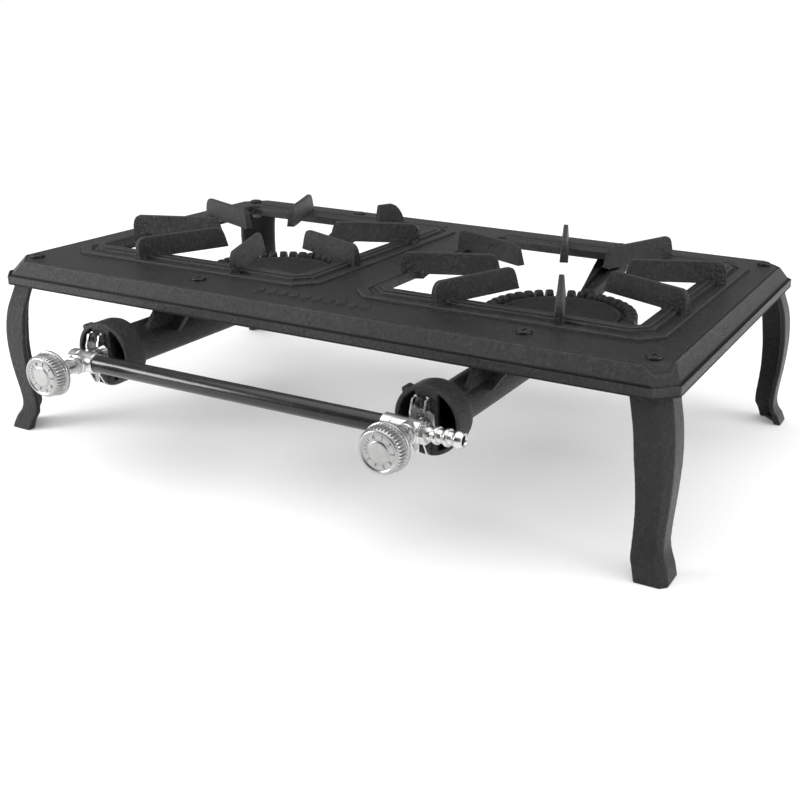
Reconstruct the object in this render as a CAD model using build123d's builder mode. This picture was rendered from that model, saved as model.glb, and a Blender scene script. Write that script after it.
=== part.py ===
from build123d import *
import os
from math import sin, cos, radians, sqrt

os.makedirs("parts", exist_ok=True)

# ------------------------------------------------------------------ driving dimensions (mm)
# Row frame: X along the stove, Y front (-) to back (+), Z up, feet on z = 0,
# origin at the middle of the bounding box's bottom.
YC = 48.85            # the frame's own centre line in Y
L = 640.0             # frame length over the lip
W = 364.0             # frame width over the lip
Z_LIP = 139.0         # lower edge of the lip
Z_STEP = 147.0        # top of the lip band
Z_TOP = 160.0         # top of the rails
Z_UNDER = 154.5       # underside of the deck
STEP = 2.0            # step of the lip band
BEVEL = 9.4           # inset of the top plane
BX = 153.5            # burner centres at +-BX
BY = YC + 9.0         # burner centres in Y
GS = -2.4             # burners and gas side sit a little to the left of the openings' centres
GR, GL = BX + GS, -BX + GS
OPEN = 110.5          # half size of each burner opening
OPEN_L = 117.5        # the opening's left edge lies a little further out
COLLAR = 134.7        # half size of the raised collar's base
GROOVE = 0.9          # depth of the grooves along the bevel
Z_COLLAR = 164.7      # top of the collar at its inner edge
Z_PAN = 181.0         # top of the pan-support fins
SCREW_X, SCREW_Y = 295.2, 155.0   # leg screws
AX = 108.9            # height of the gas axis: valves, jets, venturi tubes
YP = YC - 241.0       # manifold axis in Y
YK = YC - 286.0       # knob face in Y
Y_BELL = YC - 222.0   # mouth of the air bell
R_BELL, R_TUBE, R_BORE = 27.0, 17.0, 12.5
R_HEAD = 70.0         # burner crown radius
TEETH = 40            # crown teeth
FIT = 0.06            # radial running clearance of the stems


def deck(z):
    return Plane(origin=(0, YC, z))


def octa(hx, hy, c):
    return [(hx - c, -hy), (hx, -hy + c), (hx, hy - c), (hx - c, hy),
            (-hx + c, hy), (-hx, hy - c), (-hx, -hy + c), (-hx + c, -hy)]


def poly(pts, mode=Mode.ADD):
    # a closed face from points, inside the sketch that is open
    with BuildLine() as outline:
        Polyline(*pts, close=True)
    make_face(outline.edges(), mode=mode)


def band(inset0, inset1, cut0, cut1):
    # a ring that follows the frame's outline between two insets
    poly(octa(L / 2 - inset0, W / 2 - inset0, cut0))
    poly(octa(L / 2 - inset1, W / 2 - inset1, cut1), Mode.SUBTRACT)


# ------------------------------------------------------------------ pan-support fin, cast on the frame
# profile in radius and height, cut by a wedge that is thin at the crest and thick at the root
with BuildPart() as fin:
    with BuildSketch(Plane.XZ):
        poly([(53.5, 162.2), (116.5, 162.2), (121.5, 157.9), (139.5, 157.9), (141.5, 163.0), (141.3, 171.5),
              (140.4, 175.9), (138.4, 179.2), (135.0, Z_PAN), (62.6, Z_PAN), (59.6, 180.0), (57.6, 177.6), (56.2, 174.0)])
    extrude(amount=9, both=True)
    with BuildSketch(Plane.YZ):
        poly([(-5.2, 156.0), (5.2, 156.0), (3.7, 164.5), (2.1, Z_PAN + 1), (-2.1, Z_PAN + 1), (-3.7, 164.5)])
    extrude(amount=200, mode=Mode.INTERSECT)
    fillet(fin.edges().filter_by(Axis.X).sort_by(Axis.Z)[-2:], 0.9)

# the short fin: only its outer end stands, at the back right of the left opening
with BuildPart() as fin_short:
    with BuildSketch(Plane.XZ):
        poly([(119.0, 162.2), (121.5, 157.9), (150.5, 157.9), (151.3, 163.0), (149.6, 169.0), (146.4, 174.6),
              (142.4, 178.8), (137.6, Z_PAN), (122.2, Z_PAN), (121.3, 180.0)])
    extrude(amount=9, both=True)
    with BuildSketch(Plane.YZ):
        poly([(-5.2, 156.0), (5.2, 156.0), (3.7, 164.5), (2.1, Z_PAN + 1), (-2.1, Z_PAN + 1), (-3.7, 164.5)])
    extrude(amount=200, mode=Mode.INTERSECT)

# ------------------------------------------------------------------ top frame casting
with BuildPart() as top_frame:
    with BuildSketch(deck(Z_LIP)):
        poly(octa(L / 2, W / 2, 15))
    extrude(amount=Z_STEP - Z_LIP)
    with BuildSketch(deck(Z_STEP)):
        poly(octa(L / 2 - STEP, W / 2 - STEP, 15.6))
    with BuildSketch(deck(Z_TOP)):
        poly(octa(L / 2 - BEVEL, W / 2 - BEVEL, 18.6))
    loft()
    # hollow underside behind the skirt
    with BuildSketch(deck(Z_LIP)):
        poly(octa(L / 2 - 5.0, W / 2 - 5.0, 10.2))
    with BuildSketch(deck(145.0)):
        poly(octa(L / 2 - 5.3, W / 2 - 5.3, 10.4))
    loft(mode=Mode.SUBTRACT)
    with BuildSketch(deck(145.0)):
        poly(octa(L / 2 - 5.3, W / 2 - 5.3, 10.4))
    with BuildSketch(deck(Z_UNDER)):
        poly(octa(L / 2 - 11.5, W / 2 - 11.5, 14.0))
    loft(mode=Mode.SUBTRACT)
    # grooves along the top and the foot of the bevel
    with BuildSketch(deck(Z_TOP - GROOVE)):
        band(BEVEL + 0.5, BEVEL + 2.3, 18.3, 17.3)
    extrude(amount=GROOVE + 1, mode=Mode.SUBTRACT)
    with BuildSketch(deck(Z_STEP - GROOVE)):
        band(STEP - 1.1, STEP + 0.3, 15.6, 15.6)
    extrude(amount=GROOVE + 0.3, mode=Mode.SUBTRACT)
    # raised collars: outer band, channel, two bead steps
    for bx in (-BX, BX):
        for half, cham, z0, h in ((COLLAR, 16.5, 159.0, 3.2), (COLLAR - 12.0, 13.0, 160.0, 3.5),
                                  (COLLAR - 16.5, 10.5, 160.0, Z_COLLAR - 160.0)):
            with BuildSketch(Plane(origin=(bx, BY, z0))):
                poly(octa(half, half, cham))
            extrude(amount=h)
        with BuildSketch(Plane(origin=(bx, BY, 160.9))):
            poly(octa(COLLAR - 7.6, COLLAR - 7.6, 14.4))
            poly(octa(COLLAR - 12.0, COLLAR - 12.0, 13.0), Mode.SUBTRACT)
        extrude(amount=6, mode=Mode.SUBTRACT)
        # the back band slopes down towards the opening
        with BuildSketch(Plane(origin=(bx, BY, 160.9))):
            poly([(-114, 100), (114, 100), (114, 127.5), (-114, 127.5)])
        extrude(amount=6, mode=Mode.SUBTRACT)
        with BuildSketch(Plane(origin=(bx - 118, BY, 0), x_dir=(0, 1, 0), z_dir=(1, 0, 0))):
            poly([(108, 158), (108, 161.0), (131.5, 163.6), (COLLAR, 162.2), (COLLAR, 158)])
        extrude(amount=236)
    # openings
    for bx in (-BX, BX):
        with BuildSketch(Plane(origin=(bx, BY, Z_UNDER - 6))):
            poly([(-OPEN_L, -OPEN + 4), (-OPEN_L + 4, -OPEN), (OPEN - 4, -OPEN), (OPEN, -OPEN + 4),
                  (OPEN, OPEN - 4), (OPEN - 4, OPEN), (-OPEN_L + 4, OPEN), (-OPEN_L, OPEN - 4)])
        extrude(amount=30, mode=Mode.SUBTRACT)
        # thinner edge on the front and the two sides
        with BuildSketch(Plane(origin=(bx, BY, Z_UNDER - 1))):
            poly([(-128.0, -121.0), (121.0, -121.0), (121.0, 109.0), (-128.0, 109.0)])
        extrude(amount=4.0, mode=Mode.SUBTRACT)
    # stiffening rib under the middle web and beads beside the openings
    with BuildSketch(deck(Z_UNDER - 7)):
        with Locations((0, 9)):
            Rectangle(5, 330)
    extrude(amount=7.2)
    # eight fins to each opening, one of them short
    for bx in (-BX, BX):
        for k in range(8):
            with Locations(Location((bx, BY, 0), (0, 0, 22.5 + 45 * k))):
                add(fin_short.part if bx < 0 and k == 1 else fin.part)
    # leg screw holes and burner screw holes
    with Locations(*[(sx * SCREW_X, YC + sy * SCREW_Y, Z_TOP) for sx in (-1, 1) for sy in (-1, 1)]):
        Hole(3.3)
    with Locations(*[(bx + 37, YC - 146, Z_TOP) for bx in (-BX, BX)], *[(bx, YC + 158, Z_TOP) for bx in (GL, GR)]):
        Hole(3.0)
    # plain raised lozenges on the front rail
    with BuildSketch(deck(Z_TOP - 0.2)):
        for i in range(10):
            cx, cy = 1 + 11.4 * (i - 4.5), -147.5
            poly([(cx - 4.6, cy), (cx, cy - 7.2), (cx + 4.6, cy), (cx, cy + 7.2)])
    extrude(amount=1.5)

# ------------------------------------------------------------------ cabriole leg, angle section
# height, inset of the outer corner from the lip planes, flange width, thickness, outer corner cut
LEG = [(0.0, -6.3, 26.0, 8.0, 5.2), (10.0, -3.0, 25.6, 6.6, 5.2), (16.0, 0.3, 24.8, 5.6, 5.2),
       (24.0, 2.0, 23.2, 4.8, 5.3), (38.0, 1.3, 23.0, 4.5, 5.6), (55.0, -0.6, 24.0, 4.5, 6.0),
       (75.0, -2.0, 26.0, 4.5, 6.4), (95.0, -2.0, 28.2, 4.5, 7.0), (115.0, 0.0, 28.6, 4.5, 8.0),
       (133.0, 4.5, 28.8, 4.5, 9.2), (138.0, 5.7, 29.0, 4.5, 9.6), (145.0, 6.0, 29.0, 4.5, 9.8)]
SUB = 3               # steps to each span of the table above


def ell(a, f, t, c):
    # angle section of the front right leg, relative to the lip's corner
    x0, y0 = L / 2 - a, YC - W / 2 + a
    i = max(2.5, c + 6.0 - 2 * t)
    return [(x0 - c, y0), (x0, y0 + c), (x0, y0 + f), (x0 - t, y0 + f), (x0 - t, y0 + t + i),
            (x0 - t - i, y0 + t), (x0 - f, y0 + t), (x0 - f, y0)]


def leg_rows():
    # the table above with a smooth curve through it
    n, out = len(LEG), []
    for i in range(n - 1):
        p0, p1, p2, p3 = LEG[max(i - 1, 0)], LEG[i], LEG[i + 1], LEG[min(i + 2, n - 1)]
        h = p2[0] - p1[0]
        for k in range(SUB):
            u, row = k / SUB, []
            for j in range(1, 5):
                m1 = (p2[j] - p0[j]) / (p2[0] - p0[0]) * h
                m2 = (p3[j] - p1[j]) / (p3[0] - p1[0]) * h
                row.append((2 * u**3 - 3 * u**2 + 1) * p1[j] + (u**3 - 2 * u**2 + u) * m1
                           + (-2 * u**3 + 3 * u**2) * p2[j] + (u**3 - u**2) * m2)
            out.append([p1[0] + u * h] + row)
    out.append(list(LEG[-1]))
    return out


with BuildPart() as leg_front_right:
    for z, a, f, t, c in leg_rows():
        with BuildSketch(Plane.XY.offset(z)):
            poly(ell(a, f, t, c))
    loft()
    with BuildSketch(Plane.XY.offset(144.9)):
        poly(ell(6.0, 29.0, 4.5, 9.8))
    with BuildSketch(Plane.XY.offset(152.0)):
        poly(ell(11.2, 26.0, 4.5, 11.8))
    loft()
    # mounting pad under the deck
    with BuildSketch(Plane.XY.offset(149.5)):
        xo, yo = L / 2 - 12.4, YC - W / 2 + 12.4
        poly([(xo - 15, yo), (xo, yo + 15), (xo, yo + 31), (xo - 31, yo + 31), (xo - 31, yo)])
    extrude(amount=Z_UNDER - 149.5)
    # solid toe
    with BuildSketch(Plane.XY.offset(0)):
        xo, yo = L / 2 + 6.3, YC - W / 2 - 6.3
        poly([(xo - 7, yo + 7.2), (xo - 7.2, yo + 22), (xo - 22, yo + 7)])
    extrude(amount=5)
    with Locations((SCREW_X, YC - SCREW_Y, Z_UNDER)):
        Hole(3.3, depth=12)

with BuildPart() as leg_front_left:
    add(mirror(leg_front_right.part, about=Plane.YZ))
with BuildPart() as leg_back_right:
    add(mirror(leg_front_right.part, about=Plane(origin=(0, YC, 0), z_dir=(0, 1, 0))))
with BuildPart() as leg_back_left:
    add(mirror(leg_back_right.part, about=Plane.YZ))

# ------------------------------------------------------------------ screws and nuts
def pan_screw(x, y, z, r_head, h_head, r, length):
    # low pan head with a cross recess, head underside on z, shank down
    with BuildPart(Plane(origin=(x, y, z)), mode=Mode.PRIVATE) as s:
        Cylinder(r_head, h_head, align=(Align.CENTER, Align.CENTER, Align.MIN))
        fillet(s.faces().sort_by(Axis.Z)[-1].edges(), h_head * 0.55)
        with Locations((0, 0, h_head)):
            Box(r_head * 1.05, 1.5, 2.0, mode=Mode.SUBTRACT)
            Box(1.5, r_head * 1.05, 2.0, mode=Mode.SUBTRACT)
        with Locations((0, 0, 0.01)):
            Cylinder(r, length, align=(Align.CENTER, Align.CENTER, Align.MAX))
    return s.part


def hex_nut(x, y, z, r_hole, af, h, washer):
    # flat washer and hexagon nut hanging down from z
    with BuildPart(Plane(origin=(x, y, z)), mode=Mode.PRIVATE) as n:
        Cylinder(washer, 1.2, align=(Align.CENTER, Align.CENTER, Align.MAX))
        with BuildSketch(Plane(origin=(x, y, z - 1.2 - h))):
            RegularPolygon(af / 2, 6, major_radius=False)
        extrude(amount=h)
        Cylinder(r_hole, 20, mode=Mode.SUBTRACT)
    return n.part


with BuildPart() as leg_screws:
    for sx in (-1, 1):
        for sy in (-1, 1):
            add(pan_screw(sx * SCREW_X, YC + sy * SCREW_Y, Z_TOP, 6.3, 2.4, 3.0, 18.0))
with BuildPart() as leg_nuts:
    for sx in (-1, 1):
        for sy in (-1, 1):
            add(hex_nut(sx * SCREW_X, YC + sy * SCREW_Y, 149.5, 3.06, 10.0, 4.8, 6.2))
with BuildPart() as burner_front_screws:
    for bx in (-BX, BX):
        add(pan_screw(bx + 37, YC - 146, Z_TOP, 6.2, 2.3, 2.7, 19.5))
with BuildPart() as burner_front_nuts:
    for bx in (-BX, BX):
        add(hex_nut(bx + 37, YC - 146, 146.5, 2.76, 9.0, 4.2, 5.6))
with BuildPart() as burner_rear_screws:
    for bx in (GL, GR):
        add(pan_screw(bx, YC + 158, Z_TOP, 6.2, 2.3, 2.7, 19.5))
with BuildPart() as burner_rear_nuts:
    for bx in (GL, GR):
        add(hex_nut(bx, YC + 158, 146.5, 2.76, 9.0, 4.2, 5.6))

# ------------------------------------------------------------------ burner casting: bell, venturi tube, bowl, lug, rear arm
with BuildPart() as burner_right:
    # bowl
    with BuildSketch(Plane(origin=(GR, BY, 0), x_dir=(1, 0, 0), z_dir=(0, -1, 0))):
        poly([(0, 90), (40, 90), (52, 95), (61, 105), (65.5, 114), (67, 118), (67, 122), (0, 122)])
    revolve(axis=Axis((GR, BY, 0), (0, 0, 1)))
    # venturi tube and bell
    with BuildSketch(Plane(origin=(GR, 0, AX), x_dir=(0, 1, 0), z_dir=(1, 0, 0))):
        poly([(Y_BELL, 0), (Y_BELL, R_BELL - 0.8), (Y_BELL + 0.8, R_BELL), (Y_BELL + 18, R_BELL),
              (Y_BELL + 22, R_BELL - 1.2), (Y_BELL + 25, R_BELL - 4.2), (Y_BELL + 27, R_TUBE + 2.2),
              (Y_BELL + 30, R_TUBE + 0.5), (Y_BELL + 36, R_TUBE), (BY - 40, R_TUBE), (BY - 40, 0)])
    revolve(axis=Axis((GR, 0, AX), (0, 1, 0)))
    # small lug on the bell's rim
    with BuildSketch(Plane(origin=(GR, Y_BELL + 1.5, AX), x_dir=(1, 0, 0), z_dir=(0, -1, 0)).rotated((0, 0, 0))):
        with Locations((-18.6, 20.2)):
            Circle(2.6)
    extrude(amount=-9)
    # front lug: upright plate, gusset and boss under the deck
    with BuildSketch(Plane(origin=(GR, YC - 153.5, 0), x_dir=(1, 0, 0), z_dir=(0, -1, 0))):
        poly([(0, 112), (14, 108), (31, 131), (32.5, 146.5), (47.4, 146.5), (47.4, 154.4), (4, 154.4)])
    extrude(amount=-5.5)
    with BuildSketch(Plane(origin=(BX + 37, YC - 146, 146.5))):
        Circle(8.6)
    extrude(amount=Z_UNDER - 146.5)
    with BuildSketch(Plane(origin=(GR + 8.0, YC, 0), x_dir=(0, 1, 0), z_dir=(1, 0, 0))):
        poly([(-186, 118), (-150, 112), (-150, 150), (-160, 150), (-166, 140)])
    extrude(amount=4.5)
    # rear arm with raised edges
    with BuildSketch(Plane(origin=(GR - 3, YC, 0), x_dir=(0, 1, 0), z_dir=(1, 0, 0))):
        poly([(58, 104), (70, 108), (86, 121), (144, 139), (149, 146.5), (168, 146.5), (168, 154.4), (148, 154.4),
              (145, 150), (87, 135), (80, 131), (58, 120)])
    extrude(amount=19, both=True)
    with BuildSketch(Plane(origin=(GR - 3, YC, 60))):
        poly([(-7, 50), (7, 50), (7, 88), (16, 150), (16, 162), (12, 170), (-10, 170), (-16, 162), (-16, 150),
              (-7, 88)])
        with Locations((3, 9)):
            Circle(69)
        poly([(-60, -300), (60, -300), (60, 0), (-60, 0)])
    extrude(amount=120, mode=Mode.INTERSECT)
    with BuildSketch(Plane(origin=(GR - 3, YC, 0), x_dir=(0, 1, 0), z_dir=(1, 0, 0))):
        poly([(86, 131), (144, 144.5), (144, 160), (86, 160)])
    extrude(amount=4.6, both=True, mode=Mode.SUBTRACT)
    # rim seat trimmed flat under the crown
    with BuildSketch(Plane(origin=(GR, BY, 122.0))):
        Circle(R_HEAD + 1.2)
    extrude(amount=25, mode=Mode.SUBTRACT)
    # hollow bowl with a centre boss
    with BuildSketch(Plane(origin=(GR, BY, 0), x_dir=(1, 0, 0), z_dir=(0, -1, 0))):
        poly([(9, 95.5), (38, 95.5), (48, 99.5), (56, 107.5), (60, 115), (60.5, 123), (9, 123)])
    revolve(axis=Axis((GR, BY, 0), (0, 0, 1)), mode=Mode.SUBTRACT)
    # bell mouth and bore of the tube
    with BuildSketch(Plane(origin=(GR, 0, AX), x_dir=(0, 1, 0), z_dir=(1, 0, 0))):
        poly([(Y_BELL - 1, 0), (Y_BELL - 1, 23.4), (Y_BELL + 15, 23.0), (Y_BELL + 27, R_BORE + 1),
              (Y_BELL + 31, R_BORE), (BY - 45, R_BORE), (BY - 45, 0)])
    revolve(axis=Axis((GR, 0, AX), (0, 1, 0)), mode=Mode.SUBTRACT)
    # cross web in the mouth, bored for the jet and tapped for the bracket screw
    with BuildSketch(Plane(origin=(GR, Y_BELL, AX), x_dir=(1, 0, 0), z_dir=(0, -1, 0))):
        with BuildLine():
            Polyline((-9, -25), (9, -25), (9, 25), (-9, 25), close=True)
        make_face()
        Circle(24.5, mode=Mode.INTERSECT)
        Circle(6.2, mode=Mode.SUBTRACT)
        with Locations((-3, 14.4)):
            Circle(2.1, mode=Mode.SUBTRACT)
    extrude(amount=-5)
    # screw holes
    with Locations((BX + 37, YC - 146, Z_UNDER), (GR, YC + 158, Z_UNDER)):
        Hole(3.0, depth=22)
    with Locations((GR, BY, 122.0)):
        Hole(2.6, depth=16)

with BuildPart() as burner_left:
    with Locations((GL - GR, 0, 0)):
        add(burner_right.part)

# ------------------------------------------------------------------ burner crown
with BuildPart() as burner_cap_right:
    with BuildSketch(Plane(origin=(GR, BY, 0), x_dir=(1, 0, 0), z_dir=(0, -1, 0))):
        poly([(0, 122), (R_HEAD - 1.5, 122), (R_HEAD, 123.5), (R_HEAD, 130), (R_HEAD - 1.2, 132.3),
              (R_HEAD - 4, 133.4), (R_HEAD - 8.5, 133.4), (R_HEAD - 10.5, 131.5), (R_HEAD - 11.2, 127.0),
              (55.5, 126.6), (55, 129.5), (54, 130.2), (52.5, 130.2), (51.5, 129.4), (49, 127.6), (30, 125.6),
              (12, 125.2), (10.5, 126.2), (0, 126.2)])
    revolve(axis=Axis((GR, BY, 0), (0, 0, 1)))
    # gaps between the crown's teeth
    with BuildSketch(Plane(origin=(GR, BY, 125.6))):
        with PolarLocations(R_HEAD - 4.6, TEETH):
            SlotOverall(16, 3.7)
    extrude(amount=10, mode=Mode.SUBTRACT)
    # flame ports
    with BuildSketch(Plane(origin=(GR, BY, 120))):
        with PolarLocations(58.2, TEETH):
            Circle(1.2)
    extrude(amount=12, mode=Mode.SUBTRACT)
    with Locations((GR, BY, 130)):
        Hole(3.1, depth=12)

with BuildPart() as burner_cap_left:
    with Locations((GL - GR, 0, 0)):
        add(burner_cap_right.part)

with BuildPart() as burner_cap_screws:
    for bx in (GL, GR):
        add(pan_screw(bx, BY, 126.2, 6.6, 3.0, 2.5, 17.0))

# ------------------------------------------------------------------ gas side
def along_y(x):
    # profile plane: first coordinate is Y of the row, second the radius above the gas axis
    return Plane(origin=(x, 0, AX), x_dir=(0, 1, 0), z_dir=(1, 0, 0))


def along_x():
    return Plane(origin=(0, YP, AX), x_dir=(1, 0, 0), z_dir=(0, -1, 0))


def turned_y(x, pts):
    with BuildPart(mode=Mode.PRIVATE) as t:
        with BuildSketch(along_y(x)):
            poly(pts)
        revolve(axis=Axis((x, 0, AX), (0, 1, 0)))
    return t.part


def valve_body(x, x0, x1, socket, blind):
    # barrel along the manifold, spindle boss to the front, jet boss to the back
    with BuildPart(mode=Mode.PRIVATE) as v:
        with BuildSketch(along_x()):
            poly([(x0, 0), (x0, 8.4), (x0 + 0.6, 9.0), (x0 + 8, 9.0), (x0 + 8.6, 8.5), (x1 - 1, 8.5), (x1, 7.6),
                  (x1, 0)])
        revolve(axis=Axis((0, YP, AX), (1, 0, 0)))
        add(turned_y(x, [(YC - 251, 0), (YC - 251, 7.6), (YC - 250.4, 8.2), (YC - 241, 8.2), (YC - 233, 8.0),
                         (YC - 231.6, 6.5), (YC - 223.7, 6.5), (YC - 223.7, 5.2), (YC - 219.0, 5.2), (YC - 219.0, 0)]))
        # gallery, pipe socket, hose-tail socket
        g0, g1 = (x0 + 1 if blind < 0 else x0 - 1), x1 + 1
        if socket > 0:                      # pipe comes in from +X
            g0, g1 = x0 + 3.5, x1 + 1
        with BuildSketch(along_x()):
            with BuildLine():
                Polyline((g0, 0), (g0, 3.2), (g1, 3.2), (g1, 0), close=True)
            make_face()
        revolve(axis=Axis((0, YP, AX), (1, 0, 0)), mode=Mode.SUBTRACT)
        with BuildSketch(along_x()):
            if socket > 0:
                poly([(x1 - 6, 0), (x1 - 6, 7.27), (x1 + 1, 7.27), (x1 + 1, 0)])
            else:
                poly([(x0 - 1, 0), (x0 - 1, 7.27), (x0 + 8, 7.27), (x0 + 8, 0)])
        revolve(axis=Axis((0, YP, AX), (1, 0, 0)), mode=Mode.SUBTRACT)
        if socket < 0:
            with BuildSketch(along_x()):
                poly([(x1 - 5, 0), (x1 - 5, 5.02), (x1 + 1, 5.02), (x1 + 1, 0)])
            revolve(axis=Axis((0, YP, AX), (1, 0, 0)), mode=Mode.SUBTRACT)
        # spindle bore: bonnet socket, collar room, neck, plug seat, jet port and jet socket
        with BuildSketch(along_y(x)):
            poly([(YC - 252, 0), (YC - 252, 6.02), (YC - 246, 6.02), (YC - 246, 3.2), (YC - 238, 3.2),
                  (YC - 238, 3.5 + FIT), (YC - 232.3, 3.5 + FIT), (YC - 232.3, 1.2), (YC - 228, 1.2), (YC - 228, 3.02),
                  (YC - 218, 3.02), (YC - 218, 0)])
        revolve(axis=Axis((x, 0, AX), (0, 1, 0)), mode=Mode.SUBTRACT)
        # port off the axis that the plug uncovers
        with BuildSketch(Plane(origin=(x, YC - 233, AX), x_dir=(1, 0, 0), z_dir=(0, -1, 0))):
            with Locations((1.6, 0)):
                Circle(0.9)
        extrude(amount=-5.4, mode=Mode.SUBTRACT)
    return v.part


def valve_set(x):
    # spindle with plug, bonnet, thrust washer, seal ring, jet, bracket
    with BuildPart(mode=Mode.PRIVATE) as st:
        add(turned_y(x, [(YC - 283.2, 0), (YC - 283.2, 3.0), (YC - 262.5, 3.0), (YC - 262.5, 4.0 - FIT),
                         (YC - 249.0, 4.0 - FIT), (YC - 249.0, 5.2), (YC - 247.2, 5.2), (YC - 247.2, 2.0),
                         (YC - 237.6, 2.0), (YC - 237.6, 3.5), (YC - 232.7, 3.5), (YC - 232.7, 0)]))
        # seal groove
        with BuildSketch(along_y(x)):
            poly([(YC - 257.2, 3.0), (YC - 257.2, 5.0), (YC - 255.2, 5.0), (YC - 255.2, 3.0)])
        revolve(axis=Axis((x, 0, AX), (0, 1, 0)), mode=Mode.SUBTRACT)
        # flat that drives the knob
        with BuildSketch(Plane(origin=(x, YC - 284, AX), x_dir=(1, 0, 0), z_dir=(0, -1, 0))):
            with Locations((0, 3.6)):
                Rectangle(9, 3.2)
        extrude(amount=-14, mode=Mode.SUBTRACT)
        # metering port through the plug
        with BuildSketch(Plane(origin=(x, YC - 238.5, AX), x_dir=(1, 0, 0), z_dir=(0, -1, 0))):
            with Locations((-2.3, 0)):
                Circle(0.75)
        extrude(amount=-7, mode=Mode.SUBTRACT)
    with BuildPart(mode=Mode.PRIVATE) as bo:
        with BuildSketch(Plane(origin=(x, YC - 254.6, AX), x_dir=(1, 0, 0), z_dir=(0, -1, 0))):
            RegularPolygon(6.9, 6, major_radius=False)
        extrude(amount=-3.5)
        add(turned_y(x, [(YC - 264, 0), (YC - 264, 5.2), (YC - 263.2, 6.0), (YC - 254.6, 6.0), (YC - 254.6, 5.8),
                         (YC - 251.1, 5.8), (YC - 251.1, 5.99), (YC - 249.6, 5.99), (YC - 249.6, 0)]))
        with BuildSketch(along_y(x)):
            poly([(YC - 265, 0), (YC - 265, 4.0), (YC - 249, 4.0), (YC - 249, 0)])
        revolve(axis=Axis((x, 0, AX), (0, 1, 0)), mode=Mode.SUBTRACT)
    tw = turned_y(x, [(YC - 246.9, 3.4), (YC - 246.9, 5.9), (YC - 246.05, 5.9), (YC - 246.05, 3.4)])
    with BuildPart(mode=Mode.PRIVATE) as ring:
        with BuildSketch(along_y(x)):
            with Locations((YC - 256.2, 3.49)):
                Circle(0.46)
        revolve(axis=Axis((x, 0, AX), (0, 1, 0)))
    with BuildPart(mode=Mode.PRIVATE) as jet:
        add(turned_y(x, [(YC - 227.9, 0.6), (YC - 227.9, 3.0), (YC - 219.0, 3.0), (YC - 219.0, 5.7), (YC - 216.6, 5.7),
                         (YC - 215.6, 3.4), (YC - 210.5, 2.6), (YC - 209.5, 1.6), (YC - 209.5, 0.6)]))
    return st.part, bo.part, tw, ring.part, jet.part


def bracket(x):
    # stamped channel that hangs the valve on the bell's web: forked above for the screw, two legs below,
    # set a little to the left of the spindle
    with BuildPart(mode=Mode.PRIVATE) as b:
        with BuildSketch(Plane(origin=(x, YC - 223.7, AX), x_dir=(1, 0, 0), z_dir=(0, -1, 0))):
            poly([(-9.1, -25.0), (-5.6, -25.0), (-5.2, -12.5), (-0.8, -12.5), (-0.4, -25.0), (3.1, -25.0), (3.1, -11.0),
                  (7.6, -7.0), (7.6, 6.0), (3.1, 9.0), (3.1, 18.6), (1.0, 19.4), (0.4, 16.6), (-0.8, 9.6),
                  (-5.2, 9.6), (-6.4, 16.6), (-7.0, 19.4), (-9.1, 18.6)])
        extrude(amount=-1.7)
        with BuildSketch(Plane(origin=(x - 9.1, 0, AX), x_dir=(0, 1, 0), z_dir=(1, 0, 0))):
            poly([(YC - 222.0, -25.0), (YC - 226, -24.2), (YC - 230.6, -15), (YC - 230.6, 9), (YC - 227, 17.5),
                  (YC - 222.0, 18.6)])
        extrude(amount=1.3)
        with BuildSketch(Plane(origin=(x + 3.1, 0, AX), x_dir=(0, 1, 0), z_dir=(1, 0, 0))):
            poly([(YC - 222.0, -25.0), (YC - 226, -24.2), (YC - 230.6, -15), (YC - 230.6, -9.6), (YC - 222.0, -9.6)])
            poly([(YC - 222.0, 9.0), (YC - 229.6, 9.4), (YC - 227, 17.5), (YC - 222.0, 18.6)])
        extrude(amount=-1.3)
        with BuildSketch(Plane(origin=(x, YC - 235, AX), x_dir=(1, 0, 0), z_dir=(0, -1, 0))):
            Circle(5.25)
        extrude(amount=-20, mode=Mode.SUBTRACT)
    return b.part


def bracket_screw(x):
    with BuildPart(Plane(origin=(x - 3, YC - 223.7, AX + 14.4), x_dir=(1, 0, 0), z_dir=(0, -1, 0)), mode=Mode.PRIVATE) as s:
        Cylinder(4.45, 1.0, align=(Align.CENTER, Align.CENTER, Align.MIN))
        with Locations((0, 0, 1.0)):
            Cylinder(4.0, 2.6, align=(Align.CENTER, Align.CENTER, Align.MIN))
        fillet(s.faces().sort_by(Axis.Y)[0].edges(), 1.3)
        with Locations((0, 0, 3.6)):
            Box(4.6, 1.2, 2.2, mode=Mode.SUBTRACT)
            Box(1.2, 4.6, 2.2, mode=Mode.SUBTRACT)
        with Locations((0, 0, 0.01)):
            Cylinder(2.0, 9.0, align=(Align.CENTER, Align.CENTER, Align.MAX))
    return s.part


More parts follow.
